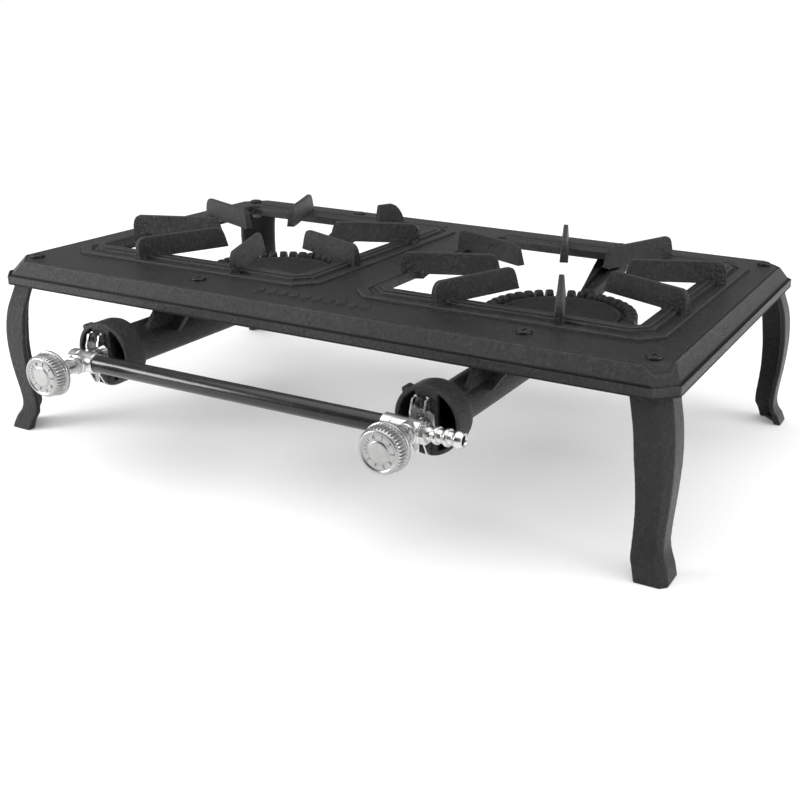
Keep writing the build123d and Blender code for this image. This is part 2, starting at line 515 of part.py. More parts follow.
def knob(x):
    # hollow turned knob with a fluted skirt, a back flange, a raised middle and a hub
    with BuildPart(mode=Mode.PRIVATE) as k:
        add(turned_y(x, [(YK, 0), (YK, 7.6), (YK + 0.7, 8.2), (YK + 0.7, 12.9), (YK, 13.4), (YK, 14.6), (YK + 0.5, 15.6),
                         (YK + 1.6, 16.4), (YK + 10, 17.0), (YK + 10, 17.9), (YK + 10.8, 18.3), (YK + 12.4, 18.3), (YK + 13, 17.8),
                         (YK + 13, 14.4), (YK + 3.2, 13.6), (YK + 3.2, 6.0), (YK + 20.5, 6.0), (YK + 21, 5.6), (YK + 21, 0)]))
        with BuildSketch(Plane(origin=(x, YK + 2.0, AX), x_dir=(1, 0, 0), z_dir=(0, -1, 0))):
            with PolarLocations(17.35, 40):
                Circle(0.75)
        extrude(amount=-8.0, mode=Mode.SUBTRACT)
        # pointer bar and setting dots on the face, free of any lettering
        with BuildSketch(Plane(origin=(x, YK + 0.9, AX), x_dir=(1, 0, 0), z_dir=(0, -1, 0))):
            with Locations((0, 10.6)):
                Rectangle(1.4, 3.6)
            with PolarLocations(10.6, 9, start_angle=130, angular_range=280, endpoint=True):
                Circle(0.7)
        extrude(amount=0.7)
        with BuildSketch(Plane(origin=(x, YC - 283.4, AX), x_dir=(1, 0, 0), z_dir=(0, -1, 0))):
            Circle(3.02)
            with Locations((0, 3.62)):
                Rectangle(9, 3.2, mode=Mode.SUBTRACT)
        extrude(amount=-13.2, mode=Mode.SUBTRACT)
        with BuildSketch(Plane(origin=(x, YC - 270.2, AX), x_dir=(1, 0, 0), z_dir=(0, -1, 0))):
            Circle(3.02)
        extrude(amount=-8, mode=Mode.SUBTRACT)
    return k.part


st_l, bo_l, tw_l, ring_l, jet_l = valve_set(GL)
st_r, bo_r, tw_r, ring_r, jet_r = valve_set(GR)

with BuildPart() as valve_body_left:
    add(valve_body(GL, GL - 12.0, GL + 13.5, 1, -1))
with BuildPart() as valve_body_right:
    add(valve_body(GR, GR - 23.0, GR + 9.0, -1, 1))
with BuildPart() as valve_stem_left:
    add(st_l)
with BuildPart() as valve_stem_right:
    add(st_r)
with BuildPart() as valve_bonnet_left:
    add(bo_l)
with BuildPart() as valve_bonnet_right:
    add(bo_r)
with BuildPart() as thrust_washers:
    add(tw_l)
    add(tw_r)
with BuildPart() as stem_seal_left:
    add(ring_l)
with BuildPart() as stem_seal_right:
    add(ring_r)
with BuildPart() as gas_jets:
    add(jet_l)
    add(jet_r)
with BuildPart() as valve_bracket_left:
    add(bracket(GL))
with BuildPart() as valve_bracket_right:
    add(bracket(GR))
with BuildPart() as bracket_screws:
    add(bracket_screw(GL))
    add(bracket_screw(GR))
with BuildPart() as knob_left:
    add(knob(GL))
with BuildPart() as knob_right:
    add(knob(GR))

# manifold pipe between the valves
P0, P1 = GL + 13.5 - 5.9, GR - 23.0 + 7.9
with BuildPart() as manifold_pipe:
    with BuildSketch(along_x()):
        poly([(P0, 5.4), (P0, 7.25), (P1, 7.25), (P1, 5.4)])
    revolve(axis=Axis((0, YP, AX), (1, 0, 0)))

# hose tail with three barbs, bored through
H0 = GR + 9.0
with BuildPart() as hose_tail:
    with BuildSketch(Plane(origin=(H0, YP, AX), x_dir=(0, 1, 0), z_dir=(1, 0, 0))):
        RegularPolygon(7.4, 6, major_radius=False)
    extrude(amount=4.0)
    with BuildSketch(along_x()):
        poly([(H0 - 4.9, 0), (H0 - 4.9, 5.0), (H0, 5.0), (H0, 5.6), (H0 + 8.0, 5.4), (H0 + 10.5, 6.6), (H0 + 12.5, 6.6),
              (H0 + 12.8, 5.2), (H0 + 16.0, 5.0), (H0 + 18.8, 6.6), (H0 + 20.8, 6.6), (H0 + 21.1, 5.2), (H0 + 24.2, 5.0),
              (H0 + 27.0, 6.6), (H0 + 29.2, 6.6), (H0 + 32.0, 5.4), (H0 + 32.0, 0)])
    revolve(axis=Axis((0, YP, AX), (1, 0, 0)))
    with BuildSketch(along_x()):
        poly([(H0 - 6, 0), (H0 - 6, 3.2), (H0 + 30.5, 3.2), (H0 + 33, 4.4), (H0 + 33, 0)])
    revolve(axis=Axis((0, YP, AX), (1, 0, 0)), mode=Mode.SUBTRACT)

# ------------------------------------------------------------------ write every node
PIECES = {
    "top_frame": top_frame, "leg_front_right": leg_front_right, "leg_front_left": leg_front_left,
    "leg_back_right": leg_back_right, "leg_back_left": leg_back_left, "leg_screws": leg_screws,
    "leg_nuts": leg_nuts, "burner_left": burner_left, "burner_right": burner_right,
    "burner_cap_left": burner_cap_left, "burner_cap_right": burner_cap_right,
    "burner_cap_screws": burner_cap_screws, "burner_front_screws": burner_front_screws,
    "burner_front_nuts": burner_front_nuts, "burner_rear_screws": burner_rear_screws,
    "burner_rear_nuts": burner_rear_nuts, "manifold_pipe": manifold_pipe,
    "valve_body_left": valve_body_left, "valve_body_right": valve_body_right,
    "valve_stem_left": valve_stem_left, "valve_stem_right": valve_stem_right,
    "valve_bonnet_left": valve_bonnet_left, "valve_bonnet_right": valve_bonnet_right,
    "thrust_washers": thrust_washers, "stem_seal_left": stem_seal_left, "stem_seal_right": stem_seal_right,
    "gas_jets": gas_jets, "valve_bracket_left": valve_bracket_left, "valve_bracket_right": valve_bracket_right,
    "bracket_screws": bracket_screws, "knob_left": knob_left, "knob_right": knob_right, "hose_tail": hose_tail,
}
for name, piece in PIECES.items():
    piece.part.label = name
    export_step(piece.part, "parts/" + name + ".step")
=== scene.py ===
import math

import bmesh
import bpy
import numpy as np
from mathutils import Matrix, Vector


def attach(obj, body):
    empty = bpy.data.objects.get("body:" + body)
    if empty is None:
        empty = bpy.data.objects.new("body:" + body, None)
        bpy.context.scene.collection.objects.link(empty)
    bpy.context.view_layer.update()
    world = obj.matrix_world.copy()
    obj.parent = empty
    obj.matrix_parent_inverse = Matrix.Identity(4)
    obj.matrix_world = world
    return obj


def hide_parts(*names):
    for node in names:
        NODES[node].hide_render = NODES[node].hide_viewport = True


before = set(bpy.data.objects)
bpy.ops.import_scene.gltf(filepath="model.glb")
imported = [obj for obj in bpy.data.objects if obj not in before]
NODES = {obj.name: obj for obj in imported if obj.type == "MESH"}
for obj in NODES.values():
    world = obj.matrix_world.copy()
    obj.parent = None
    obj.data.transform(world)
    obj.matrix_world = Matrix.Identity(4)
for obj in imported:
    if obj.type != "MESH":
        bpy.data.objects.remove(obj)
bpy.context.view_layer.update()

MM = 0.001

# ---------------------------------------------------------------- sizes shared with the CAD, in mm
YC = 48.85
L, W = 640.0, 364.0
BX, BY = 153.5, YC + 9.0
GR, GL = BX - 2.4, -BX - 2.4
AX = 108.9
YP, YK = YC - 241.0, YC - 286.0
R_HEAD, TEETH = 70.0, 40

scene = bpy.context.scene
rng = np.random.default_rng(7)


def link(ob):
    scene.collection.objects.link(ob)
    return ob


# ================================================================ camera, at the photograph's angle
cam_data = bpy.data.cameras.new("camera")
cam = link(bpy.data.objects.new("camera", cam_data))
F_PX, YAW, PITCH, ROLL = 1086.784, 0.43581, 0.36602, 0.02234
POS = (518.03, -841.11 + YC, 400.31)
PX, PY = 527.175, 401.12
d = Vector((-math.sin(YAW) * math.cos(PITCH), math.cos(YAW) * math.cos(PITCH), -math.sin(PITCH)))
r = d.cross(Vector((0, 0, 1))).normalized()
u = r.cross(d)
r2 = math.cos(ROLL) * r + math.sin(ROLL) * u
u2 = -math.sin(ROLL) * r + math.cos(ROLL) * u
m = Matrix((( r2.x, u2.x, -d.x), (r2.y, u2.y, -d.y), (r2.z, u2.z, -d.z))).to_4x4()
m.translation = Vector(POS) * MM
cam.matrix_world = m
cam_data.sensor_width = 36.0
cam_data.sensor_fit = "HORIZONTAL"
cam_data.lens = F_PX / 800.0 * 36.0
cam_data.shift_x = -(PX - 400.0) / 800.0
cam_data.shift_y = (PY - 400.0) / 800.0
cam_data.clip_start = 0.01
cam_data.clip_end = 200.0
scene.camera = cam

# ================================================================ material kit


class Mat:
    """A node material with short helpers. Coordinates are object coordinates in metres."""

    def __init__(self, name):
        self.m = bpy.data.materials.new(name)
        self.m.use_nodes = True
        self.t = self.m.node_tree
        self.n = self.t.nodes
        self.b = self.n["Principled BSDF"]
        self.co = self.n.new("ShaderNodeTexCoord").outputs["Object"]

    def link(self, a, b):
        self.t.links.new(a, b)

    def noise(self, scale, detail=4.0, rough=0.55, dist=0.0, co=None):
        n = self.n.new("ShaderNodeTexNoise")
        n.inputs["Scale"].default_value = scale
        n.inputs["Detail"].default_value = detail
        n.inputs["Roughness"].default_value = rough
        n.inputs["Distortion"].default_value = dist
        self.link(co or self.co, n.inputs["Vector"])
        return n.outputs["Fac"]

    def voronoi(self, scale, feature="F1", rand=1.0, co=None):
        n = self.n.new("ShaderNodeTexVoronoi")
        n.feature = feature
        n.inputs["Scale"].default_value = scale
        n.inputs["Randomness"].default_value = rand
        self.link(co or self.co, n.inputs["Vector"])
        return n.outputs["Distance"]

    def stretch(self, x, y, z):
        n = self.n.new("ShaderNodeMapping")
        n.inputs["Scale"].default_value = (x, y, z)
        self.link(self.co, n.inputs["Vector"])
        return n.outputs["Vector"]

    def ramp(self, fac, stops):
        n = self.n.new("ShaderNodeValToRGB")
        e = n.color_ramp.elements
        while len(e) < len(stops):
            e.new(0.5)
        for k, (p, c) in enumerate(stops):
            e[k].position = p
            e[k].color = (c, c, c, 1.0) if isinstance(c, float) else (*c, 1.0)
        self.link(fac, n.inputs["Fac"])
        return n.outputs["Color"]

    def math(self, op, a, b):
        n = self.n.new("ShaderNodeMath")
        n.operation = op
        for k, v in enumerate((a, b)):
            if isinstance(v, (int, float)):
                n.inputs[k].default_value = v
            else:
                self.link(v, n.inputs[k])
        return n.outputs[0]

    def mix(self, fac, a, b, mode="MIX"):
        n = self.n.new("ShaderNodeMix")
        n.data_type = "RGBA"
        n.blend_type = mode
        for s, v in ((n.inputs[0], fac), (n.inputs[6], a), (n.inputs[7], b)):
            if isinstance(v, (int, float)):
                s.default_value = v if s.type == "VALUE" else (v, v, v, 1.0)
            elif isinstance(v, tuple):
                s.default_value = (*v, 1.0)
            else:
                self.link(v, s)
        return n.outputs[2]

    def axes(self):
        n = self.n.new("ShaderNodeSeparateXYZ")
        self.link(self.co, n.inputs[0])
        return n.outputs["X"], n.outputs["Y"], n.outputs["Z"]

    def outline(self, u, v, hx, hy, c):
        """Signed distance in metres to an octagon outline; u and v are distances from its middle lines, sizes in mm."""
        a = self.math("SUBTRACT", u, hx * MM)
        b = self.math("SUBTRACT", v, hy * MM)
        d = self.math("SUBTRACT", self.math("ADD", u, v), (hx + hy - c) * MM)
        d = self.math("MULTIPLY", d, 0.7071)
        return self.math("MAXIMUM", self.math("MAXIMUM", a, b), d)

    def near(self, dist, at, half, soft):
        """1 where the distance is within half of at (mm), falling to 0 over soft."""
        e = self.math("ABSOLUTE", self.math("SUBTRACT", dist, at * MM), 0.0)
        e = self.math("DIVIDE", self.math("SUBTRACT", e, half * MM), soft * MM)
        e = self.math("SUBTRACT", 1.0, e)
        e.node.use_clamp = True
        return e

    def pointy(self):
        return self.n.new("ShaderNodeNewGeometry").outputs["Pointiness"]

    def bump(self, height, strength, dist, prev=None):
        n = self.n.new("ShaderNodeBump")
        n.inputs["Strength"].default_value = strength
        n.inputs["Distance"].default_value = dist
        self.link(height, n.inputs["Height"])
        if prev is not None:
            self.link(prev, n.inputs["Normal"])
        return n.outputs["Normal"]

    def set(self, **kw):
        for k, v in kw.items():
            s = self.b.inputs[k.replace("_", " ")]
            if isinstance(v, (int, float)):
                s.default_value = v
            elif isinstance(v, tuple):
                s.default_value = (*v, 1.0)
            else:
                self.link(v, s)
        return self


def cast_iron(name, tone=1.0, rough=0.36, grain=1.0, frame_lines=False):
    k = Mat(name)
    big = k.noise(9.0, 3.0, 0.5)
    mid = k.noise(95.0, 6.0, 0.62)
    sand = k.noise(300.0, 5.0, 0.68)
    fine = k.noise(950.0, 3.0, 0.7)
    pits = k.ramp(k.voronoi(430.0), [(0.0, 0.0), (0.25, 0.75), (0.5, 1.0)])
    col = k.ramp(big, [(0.3, (0.0078 * tone, 0.0078 * tone, 0.0081 * tone)), (0.7, (0.0125 * tone, 0.0125 * tone, 0.0129 * tone))])
    col = k.mix(0.8, col, k.ramp(mid, [(0.25, 0.55), (0.75, 1.5)]), "MULTIPLY")
    col = k.mix(0.9, col, k.ramp(sand, [(0.32, 0.35), (0.52, 1.0), (0.72, 3.0)]), "MULTIPLY")
    col = k.mix(0.6, col, k.ramp(fine, [(0.35, 0.6), (0.7, 1.7)]), "MULTIPLY")
    pt = k.pointy()
    # painted shade: concave creases darkened to near black
    col = k.mix(k.ramp(pt, [(0.40, 0.92), (0.485, 0.0)]), col, (0.0012, 0.0012, 0.0012))
    # convex edges lightened: partly worn paint, partly a painted highlight
    edge_wear_and_highlight = k.ramp(pt, [(0.508, 0.0), (0.55, 0.5), (0.64, 1.0)])
    worn_and_highlit = k.math("MULTIPLY", edge_wear_and_highlight, k.ramp(mid, [(0.35, 0.25), (0.7, 1.0)]))
    col = k.mix(k.math("MULTIPLY", worn_and_highlit, 0.6), col, (0.085 * tone, 0.084 * tone, 0.083 * tone))
    if frame_lines:
        # dark lines in the grooves, at the feet of the collars' steps and round the rim: painted shade, partly dirt;
        # light lines on the steps' edges: painted highlight, partly thin paint
        x, y, z = k.axes()
        ax = k.math("ABSOLUTE", x, 0.0)
        ay = k.math("ABSOLUTE", k.math("SUBTRACT", y, YC * MM), 0.0)
        rim = k.outline(ax, ay, L / 2, W / 2, 15.0)
        dark = k.math("MULTIPLY", k.near(rim, -10.7, 0.4, 0.9), k.ramp(mid, [(0.3, 0.2), (0.65, 0.6)]))
        dark = k.math("MAXIMUM", dark, k.math("MULTIPLY", k.near(rim, -1.8, 0.7, 0.6), 0.85))
        lit = k.math("MULTIPLY", k.near(rim, -9.3, 0.3, 0.5), 0.5)
        foot = k.near(z, 138.6, 1.6, 1.2)
        low = k.math("LESS_THAN", z, 165.3 * MM)
        u = k.math("ABSOLUTE", k.math("SUBTRACT", ax, BX * MM), 0.0)
        v = k.math("ABSOLUTE", k.math("SUBTRACT", y, BY * MM), 0.0)
        col_o = k.outline(u, v, 134.7, 134.7, 16.5)
        col_i = k.outline(u, v, 118.2, 118.2, 10.5)
        steps = k.near(col_o, 0.6, 0.3, 0.8)
        steps = k.math("MAXIMUM", steps, k.math("MULTIPLY", k.near(col_o, -10.4, 1.0, 1.0), 0.8))
        steps = k.math("MAXIMUM", steps, k.near(col_i, 0.5, 0.3, 0.5))
        steps = k.math("MULTIPLY", steps, k.ramp(mid, [(0.3, 0.4), (0.6, 0.85)]))
        dark = k.math("MAXIMUM", dark, k.math("MULTIPLY", steps, low))
        dark = k.math("MAXIMUM", dark, k.math("MULTIPLY", foot, 0.8))
        edges = k.near(col_o, -0.5, 0.25, 0.5)
        edges = k.math("MAXIMUM", edges, k.near(col_o, -12.4, 0.2, 0.4))
        edges = k.math("MAXIMUM", edges, k.near(col_i, -0.4, 0.2, 0.4))
        edges = k.math("MAXIMUM", edges, k.near(col_i, -7.3, 0.3, 0.4))
        lit = k.math("MAXIMUM", lit, k.math("MULTIPLY", edges, low))
        # painted shade: the dark lines, near black
        col = k.mix(k.math("MULTIPLY", dark, 0.88), col, (0.0008, 0.0008, 0.0008))
        # painted highlight: the light lines, broken up by noise
        lit = k.math("MULTIPLY", lit, k.ramp(mid, [(0.35, 0.3), (0.65, 1.0)]))
        col = k.mix(k.math("MULTIPLY", lit, 0.6), col, (0.075, 0.074, 0.073))
    rg = k.math("ADD", k.math("MULTIPLY", sand, 0.30), rough - 0.15)
    if frame_lines:
        rg = k.math("ADD", rg, k.math("MULTIPLY", dark, 0.55))
    rg = k.math("ADD", rg, k.math("MULTIPLY", k.ramp(pt, [(0.40, 1.0), (0.485, 0.0)]), 0.35))
    rg = k.math("ADD", rg, k.math("MULTIPLY", k.math("SUBTRACT", mid, 0.5), 0.22))
    nb = k.bump(mid, 0.55 * grain, 0.0012)
    nb = k.bump(sand, 1.0 * grain, 0.0017, nb)
    nb = k.bump(fine, 0.70 * grain, 0.00045, nb)
    nb = k.bump(pits, 0.35 * grain, 0.00022, nb)
    k.set(Base_Color=col, Roughness=rg, Normal=nb, Metallic=0.0)
    k.b.inputs["Specular IOR Level"].default_value = 0.37
    return k.m


def plated(name, tone=0.78, rough=0.2, scratch=1.0, tint=(1.0, 0.995, 0.985)):
    k = Mat(name)
    mid = k.noise(160.0, 4.0, 0.55)
    fine = k.noise(1500.0, 2.0, 0.6)
    lines = k.noise(900.0, 2.0, 0.6, co=k.stretch(0.08, 1.0, 1.0))
    base = tuple(tone * t for t in tint)
    dark = tuple(0.62 * tone * t for t in tint)
    col = k.mix(k.ramp(mid, [(0.25, 0.45), (0.6, 0.0)]), base, dark)
    # painted shade: concave crevices darkened
    col = k.mix(k.ramp(k.pointy(), [(0.42, 0.9), (0.493, 0.0)]), col, tuple(0.16 * tone * t for t in tint))
    rg = k.math("ADD", k.math("MULTIPLY", mid, 0.16), rough - 0.06)
    rg = k.math("ADD", rg, k.math("MULTIPLY", lines, 0.10 * scratch))
    nb = k.bump(mid, 0.18, 0.0003)
    nb = k.bump(lines, 0.16 * scratch, 0.00008, nb)
    nb = k.bump(fine, 0.10, 0.00005, nb)
    k.set(Base_Color=col, Roughness=rg, Normal=nb, Metallic=1.0)
    return k.m


def enamel(name):
    k = Mat(name)
    mid = k.noise(70.0, 3.0, 0.5)
    fine = k.noise(1300.0, 2.0, 0.6)
    dust = k.ramp(k.noise(420.0, 5.0, 0.7), [(0.56, 0.0), (0.74, 1.0)])
    col = k.mix(k.math("MULTIPLY", dust, 0.16), k.ramp(mid, [(0.3, (0.011, 0.011, 0.012)), (0.7, (0.017, 0.017, 0.018))]), (0.09, 0.09, 0.09))
    rg = k.math("ADD", k.math("MULTIPLY", mid, 0.10), 0.19)
    rg = k.math("ADD", rg, k.math("MULTIPLY", dust, 0.12))
    nb = k.bump(mid, 0.10, 0.0006)
    nb = k.bump(fine, 0.06, 0.00006, nb)
    k.set(Base_Color=col, Roughness=rg, Normal=nb, Metallic=0.0)
    k.b.inputs["Specular IOR Level"].default_value = 0.33
    k.b.inputs["Coat Weight"].default_value = 0.12
    k.b.inputs["Coat Roughness"].default_value = 0.12
    return k.m


def steel(name, tone, rough, metallic=1.0):
    k = Mat(name)
    mid = k.noise(240.0, 4.0, 0.6)
    fine = k.noise(1400.0, 2.0, 0.6)
    col = k.ramp(mid, [(0.25, tuple(0.7 * t for t in tone)), (0.75, tuple(1.25 * t for t in tone))])
    # painted highlight: convex edges lightened
    col = k.mix(k.ramp(k.pointy(), [(0.52, 0.0), (0.66, 0.6)]), col, tuple(min(1.0, 2.2 * t) for t in tone))
    rg = k.math("ADD", k.math("MULTIPLY", mid, 0.22), rough - 0.1)
    nb = k.bump(mid, 0.2, 0.0003)
    nb = k.bump(fine, 0.18, 0.00006, nb)
    k.set(Base_Color=col, Roughness=rg, Normal=nb, Metallic=metallic)
    return k.m


# legs in a darker copy of the iron (tone 0.7): painted shade for their dark front faces
M_LEG_SHADED = cast_iron("cast_iron_leg_shaded", tone=0.7, rough=0.34, grain=1.3)
M_FRAME = cast_iron("cast_iron_frame", tone=1.15, frame_lines=True)
M_IRON_LOW = cast_iron("cast_iron_burner", tone=0.85, rough=0.40, grain=1.25)
M_BRIGHT = plated("bright_plating", 0.66, 0.19)
M_SATIN = plated("satin_plating", 0.41, 0.27, 0.5)
# dark plating on the knobs' raised figures and bars: painted shade standing in for the shading round them
M_FIGURE_SHADE = plated("figure_painted_shade", 0.17, 0.38, 0.5)
M_PIPE = enamel("black_enamel")
M_SCREW = steel("black_screw", (0.022, 0.022, 0.022), 0.36, 0.6)
# dark tone for the nuts under the deck: painted shade
M_STEEL = steel("dull_steel", (0.13, 0.13, 0.135), 0.5)
M_BRASS = steel("machined_brass", (0.50, 0.34, 0.13), 0.30)
M_SEAL = steel("seal_black", (0.015, 0.015, 0.015), 0.6, 0.0)

# ================================================================ mesh kit


def node_mesh(name):
    src = NODES[name]
    me = src.data.copy()
    me.transform(src.matrix_world)
    return me


def baked(ob, name):
    """The object's mesh with its modifiers applied, as a new plain object."""
    dg = bpy.context.evaluated_depsgraph_get()
    me = bpy.data.meshes.new_from_object(ob.evaluated_get(dg))
    me.name = name
    out = bpy.data.objects.new(name, me)
    old = ob.data
    bpy.data.objects.remove(ob)
    bpy.data.meshes.remove(old)
    return link(out)


def waves(n, lo, hi, seed):
    g = np.random.default_rng(seed)
    k = g.normal(size=(n, 3))
    k /= np.linalg.norm(k, axis=1)[:, None]
    k *= (2 * math.pi / g.uniform(lo, hi, n))[:, None]
    return k, g.uniform(0, 2 * math.pi, n)


def field(p, n, lo, hi, seed):
    """A smooth random field of about unit size, with wavelengths from lo to hi metres."""
    k, ph = waves(n, lo, hi, seed)
    return np.cos(p @ k.T + ph).sum(axis=1) / math.sqrt(n / 2)


def coords(me):
    a = np.empty(len(me.vertices) * 3)
    me.vertices.foreach_get("co", a)
    return a.reshape(-1, 3)


def set_coords(me, a):
    me.vertices.foreach_set("co", a.reshape(-1))
    me.update()


def shade(me, smooth=True):
    me.polygons.foreach_set("use_smooth", [smooth] * len(me.polygons))
    me.update()


def finish_piece(ob, mat, body, slot, *nodes):
    ob.data.materials.clear()
    ob.data.materials.append(mat)
    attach(ob, body)
    if nodes:
        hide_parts(*nodes)
    return ob


def casting(name, node, voxel, mat, body, slot, smooth=2, faces=150000, swell=0.10, seed=1):
    """A casting from its CAD node: soft edges, and a skin that is slightly uneven over centimetres."""
    ob = link(bpy.data.objects.new(name, node_mesh(node)))
    md = ob.modifiers.new("grid", "REMESH")
    md.mode = "VOXEL"
    md.voxel_size = voxel * MM * 1.0
    md.use_smooth_shade = True
    sm = ob.modifiers.new("soft", "SMOOTH")
    sm.factor = 0.5
    sm.iterations = smooth
    ob = baked(ob, name)
    tris = sum(len(q.vertices) - 2 for q in ob.data.polygons)
    if tris > faces:
        dc = ob.modifiers.new("thin", "DECIMATE")
        dc.ratio = faces / tris
        ob = baked(ob, name)
    me = ob.data
    p = coords(me)
    nrm = np.empty(len(me.vertices) * 3)
    me.vertices.foreach_get("normal", nrm)
    nrm = nrm.reshape(-1, 3)
    h = np.clip(field(p, 24, 0.035, 0.11, seed), -1.6, 0.5) * swell * MM
    set_coords(me, p + nrm * h[:, None])
    shade(me)
    return finish_piece(ob, mat, body, slot, node)


def softened(name, node, mat, body, slot, width=0.25, segments=2, angle=28.0):
    """A turned or stamped piece from its CAD node, with its edges broken."""
    me = node_mesh(node)
    bm = bmesh.new()
    bm.from_mesh(me)
    bmesh.ops.remove_doubles(bm, verts=bm.verts, dist=2e-6)
    bmesh.ops.dissolve_limit(bm, angle_limit=math.radians(0.6), verts=bm.verts, edges=bm.edges)
    bm.to_mesh(me)
    bm.free()
    ob = link(bpy.data.objects.new(name, me))
    bv = ob.modifiers.new("edge", "BEVEL")
    bv.width = width * MM
    bv.segments = segments
    bv.limit_method = "ANGLE"
    bv.angle_limit = math.radians(angle)
    bv.use_clamp_overlap = True
    bv.harden_normals = False
    ob = baked(ob, name)
    shade(ob.data)
    wn = ob.modifiers.new("normals", "WEIGHTED_NORMAL")
    wn.keep_sharp = False
    wn.weight = 60
    return finish_piece(ob, mat, body, slot, node)


def lathe_mesh(name, prof, origin, axis, up, seg=96, warp=None):
    """Turns prof, a list of (along axis, radius) in mm, round the axis. Ends at radius 0 close on one vertex.
    warp(k, angle, a, r) may return another (a, r) for profile point k."""
    axis, up = Vector(axis).normalized(), Vector(up).normalized()
    side = axis.cross(up)
    o = Vector(origin)
    bm = bmesh.new()
    rings = []
    for k, (a, rad) in enumerate(prof):
        if rad <= 1e-9:
            rings.append([bm.verts.new((o + axis * a) * MM)])
            continue
        ring = []
        for s in range(seg):
            t = 2 * math.pi * s / seg
            aa, rr = (a, rad) if warp is None else warp(k, t, a, rad)
            ring.append(bm.verts.new((o + axis * aa + (up * math.cos(t) + side * math.sin(t)) * rr) * MM))
        rings.append(ring)
    n = len(rings)
    pairs = [(rings[k], rings[k + 1]) for k in range(n - 1)]
    if len(rings[0]) > 1 and len(rings[-1]) > 1:
        pairs.append((rings[-1], rings[0]))
    for a, b in pairs:
        if len(a) == 1 and len(b) == 1:
            continue
        for s in range(seg):
            s2 = (s + 1) % seg
            if len(a) == 1:
                bm.faces.new((a[0], b[s2], b[s]))
            elif len(b) == 1:
                bm.faces.new((a[s], a[s2], b[0]))
            else:
                bm.faces.new((a[s], a[s2], b[s2], b[s]))
    bmesh.ops.recalc_face_normals(bm, faces=bm.faces)
    me = bpy.data.meshes.new(name)
    bm.to_mesh(me)
    bm.free()
    shade(me)
    return me


def rounded(prof, rad, steps=3):
    """prof with each corner replaced by a short arc of about rad mm."""
    out = [prof[0]]
    for p, q, s in zip(prof, prof[1:], prof[2:]):
        p, q, s = np.array(p, float), np.array(q, float), np.array(s, float)
        a, b = p - q, s - q
        la, lb = np.linalg.norm(a), np.linalg.norm(b)
        if la < 1e-6 or lb < 1e-6:
            out.append(tuple(q))
            continue
        c = float(np.dot(a, b) / (la * lb))
        if c < -0.97:
            out.append(tuple(q))
            continue
        w = min(rad, 0.45 * la, 0.45 * lb)
        p0, p1 = q + a / la * w, q + b / lb * w
        for k in range(steps + 1):
            t = k / steps
            out.append(tuple((1 - t) ** 2 * p0 + 2 * t * (1 - t) * q + t * t * p1))
    out.append(prof[-1])
    return out


def join(name, meshes):
    bm = bmesh.new()
    for me in meshes:
        bm.from_mesh(me)
    out = bpy.data.meshes.new(name)
    bm.to_mesh(out)
    bm.free()
    for me in meshes:
        bpy.data.meshes.remove(me)
    shade(out)
    return out


# ================================================================ castings
casting("frame_casting", "top_frame", 0.52, M_FRAME, "stove", "cast_iron", smooth=1, faces=195000, swell=0.05, seed=3)
for k, n in enumerate(("leg_front_right", "leg_front_left", "leg_back_right", "leg_back_left")):
    casting(n + "_casting", n, 0.6, M_LEG_SHADED, "stove", "cast_iron", smooth=26, faces=40000, swell=0.22, seed=20 + k)
for k, n in enumerate(("burner_left", "burner_right")):
    casting(n + "_casting", n, 0.7, M_IRON_LOW, "stove", "cast_iron", smooth=3, faces=90000, swell=0.15, seed=40 + k)

# ---------------------------------------------------------------- burner crowns: rounded teeth, raised ring, dish
TOOTH = [(0, 122.05), (50, 122.05), (69.0, 122.05), (69.8, 122.7), (70.0, 123.6), (70.0, 125.6), (70.0, 127.5), (70.0, 129.2), (69.7, 130.8),
         (69.0, 132.1), (67.8, 133.0), (66.3, 133.35), (64.5, 133.4), (62.7, 133.35), (61.2, 133.0), (60.0, 132.1), (59.3, 130.8),
         (58.9, 129.2), (58.7, 127.6), (58.4, 126.8), (57.6, 126.5), (56.3, 126.6), (55.7, 127.2), (55.4, 128.6), (55.0, 129.6),
         (54.3, 130.15), (53.4, 130.3), (52.4, 130.1), (51.6, 129.3), (50.8, 128.3), (49.0, 127.5), (45, 127.0), (38, 126.4),
         (30, 125.8), (20, 125.3), (13, 125.2), (11.5, 125.5), (10.5, 126.15), (9.6, 126.25), (5, 126.25), (3.2, 126.2), (0, 126.2)]
FLOOR = 125.7


def crown_warp(k, t, a, rad):
    # a is the height, rad the radius; between teeth the crown drops to the slot floor
    ph = (t * TEETH / (2 * math.pi)) % 1.0
    e = abs(ph - 0.5) * 2.0                      # 1 in the middle of a gap, 0 in the middle of a tooth
    gap = min(max((e - 0.66) / 0.18, 0.0), 1.0)
    gap = gap * gap * (3 - 2 * gap)
    if 3 <= k <= 20 and rad > 58.0:
        if a > FLOOR:
            a = a + (FLOOR + (a - FLOOR) * 0.04 - a) * gap
        bulge = math.sqrt(max(0.0, 1.0 - (e / 0.84) ** 2)) if e < 0.84 else 0.0
        if k < 13:
            rad = rad - 0.9 * (1 - bulge) * (1 - gap)
            a = a if a < FLOOR else a - 1.1 * (1 - bulge) * (1 - gap)
        else:
            a = a if a < FLOOR else a - 1.1 * (1 - bulge) * (1 - gap)
    return a, rad


for side, bx in (("left", GL), ("right", GR)):
    prof = [(z, rr) for rr, z in TOOTH]
    me = lathe_mesh("crown_" + side, prof, (bx, BY, 0), (0, 0, 1), (1, 0, 0), seg=TEETH * 20, warp=crown_warp)
    ob = link(bpy.data.objects.new("crown_" + side, me))
    finish_piece(ob, M_IRON_LOW, "stove", "cast_iron", "burner_cap_" + side)

